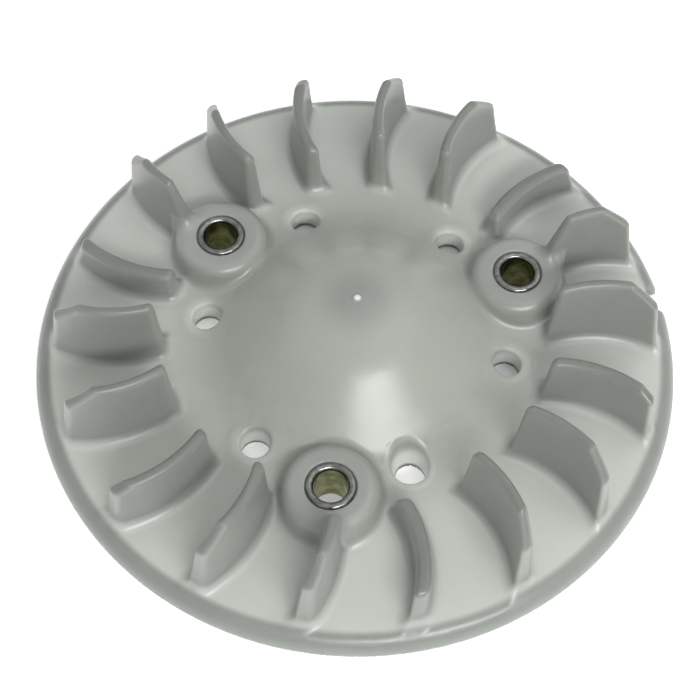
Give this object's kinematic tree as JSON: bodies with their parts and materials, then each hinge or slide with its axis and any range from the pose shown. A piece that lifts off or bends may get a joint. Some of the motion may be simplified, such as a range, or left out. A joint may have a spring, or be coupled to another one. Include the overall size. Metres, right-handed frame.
{
  "type": "engine cooling fan",
  "caption": "Shallow moulded fan disc with a tall closed hub dome, curved vanes on its face and steel-bushed bolt holes, for the flywheel of a small engine.",
  "frame": {"origin": "on the fan's axis of rotation, in the plane of the bush ends, which is also the plane of the disc's lower edge", "axes": "+Z along the axis of rotation, away from the engine; +X from the axis through bush_1; vane_01 stands on +X and the numbers run anticlockwise seen from +Z"},
  "size_m": [0.132, 0.132, 0.0228],
  "materials": {
    "moulding": "glossy natural-white nylon",
    "bush_steel": "turned steel with a yellow passivated bore"
  },
  "bodies": {
    "root": {"disc": "moulding", "vane_01": "moulding", "vane_02": "moulding", "vane_03": "moulding", "vane_04": "moulding", "vane_05": "moulding", "vane_06": "moulding", "vane_07": "moulding", "vane_08": "moulding", "vane_09": "moulding", "vane_10": "moulding", "vane_11": "moulding", "vane_12": "moulding", "vane_13": "moulding", "vane_14": "moulding", "vane_15": "moulding", "vane_16": "moulding", "vane_17": "moulding", "vane_18": "moulding", "bush_1": "bush_steel", "bush_2": "bush_steel", "bush_3": "bush_steel"}
  },
  "joints": []
}
